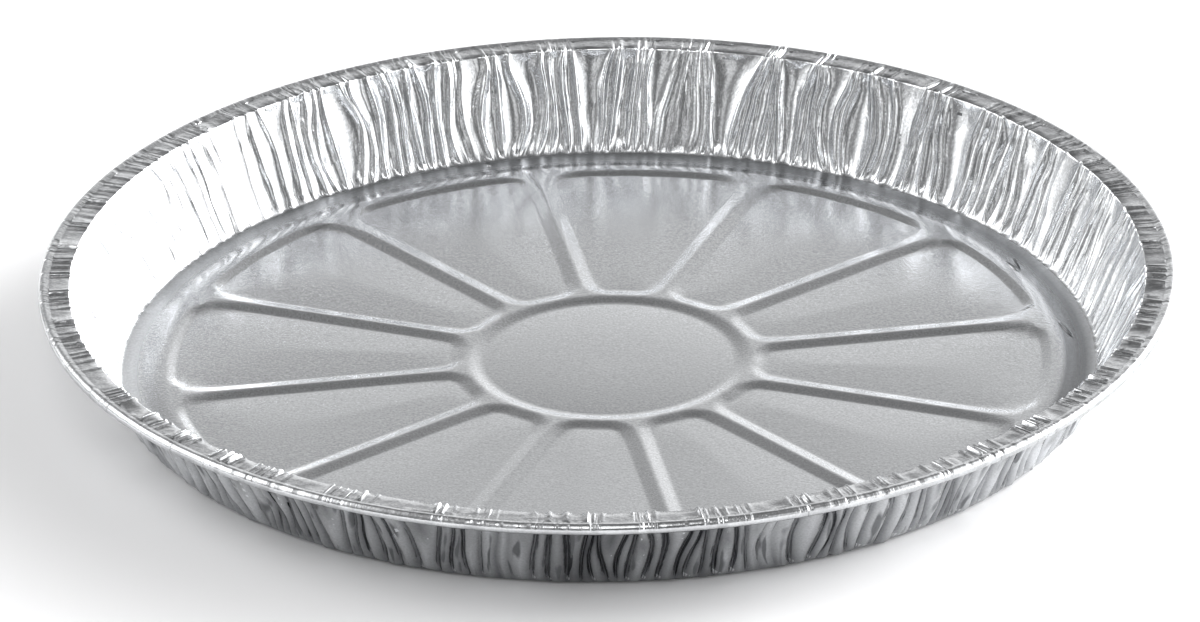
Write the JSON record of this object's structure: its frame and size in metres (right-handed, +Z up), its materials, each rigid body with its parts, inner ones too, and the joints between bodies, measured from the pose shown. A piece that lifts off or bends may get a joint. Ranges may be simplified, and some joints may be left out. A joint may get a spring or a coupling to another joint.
{
  "type": "foil pie tin",
  "caption": "Shallow round dish pressed from one sheet of thin foil, with a pleated flared wall, raised radial ribs in the floor and a flat shelf with a rolled rim.",
  "frame": {"origin": "centre of the underside of the floor, on the surface that the tin stands on", "axes": "+Z up along the axis of the round dish, out of its mouth; +X runs along the middle of one radial rib; +Y completes a right-handed frame"},
  "size_m": [0.2998, 0.2998, 0.0268],
  "materials": {
    "foil": "satin foil, bright where it is pleated"
  },
  "bodies": {
    "root": {"foil_tin": "foil"}
  },
  "joints": []
}
